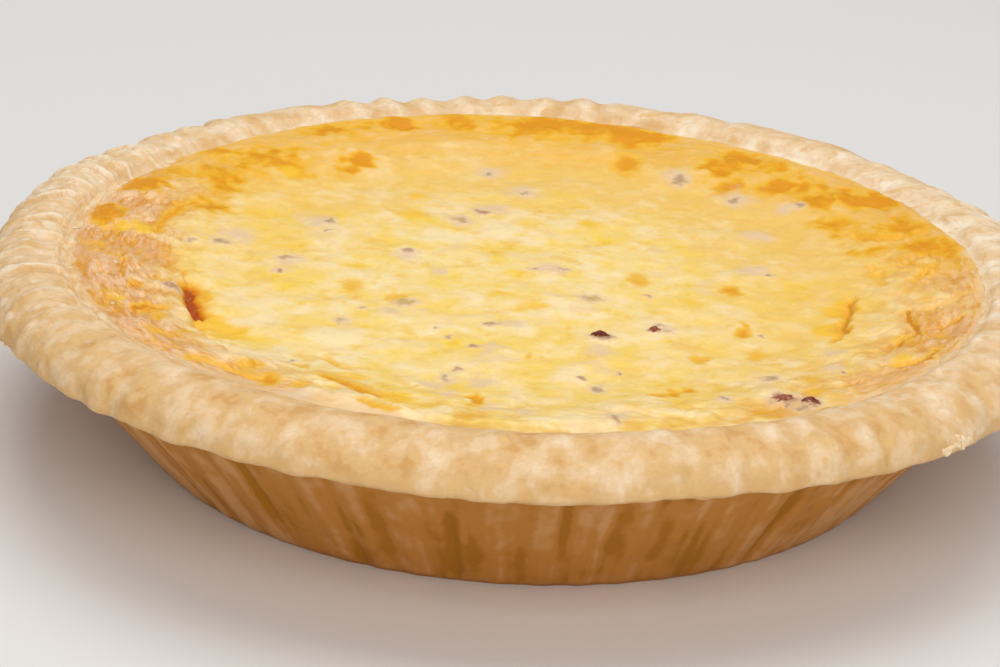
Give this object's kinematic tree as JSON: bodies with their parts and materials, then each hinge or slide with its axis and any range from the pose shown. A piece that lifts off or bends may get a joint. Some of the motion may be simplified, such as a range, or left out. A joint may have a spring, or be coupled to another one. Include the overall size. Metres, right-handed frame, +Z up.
{
  "type": "quiche lorraine",
  "caption": "Whole round quiche lorraine: a fluted shortcrust case with a rolled, crimped rim, and a browned, blistered egg custard dotted with bacon.",
  "frame": {"origin": "middle of the flat foot that the quiche rests on", "axes": "+Z up through the middle of the quiche; its front, with the burnt crack at the left, faces -Y"},
  "size_m": [0.242, 0.2412, 0.0445],
  "materials": {
    "pastry": "baked shortcrust pastry, dry and matte, pale cream with toasted patches on the rim and browner on the wall",
    "custard": "baked egg custard with a soft sheen, pale yellow in the middle and orange-brown at the margin, with dark bacon pieces"
  },
  "bodies": {
    "root": {"crust": "pastry", "filling": "custard"}
  },
  "joints": []
}
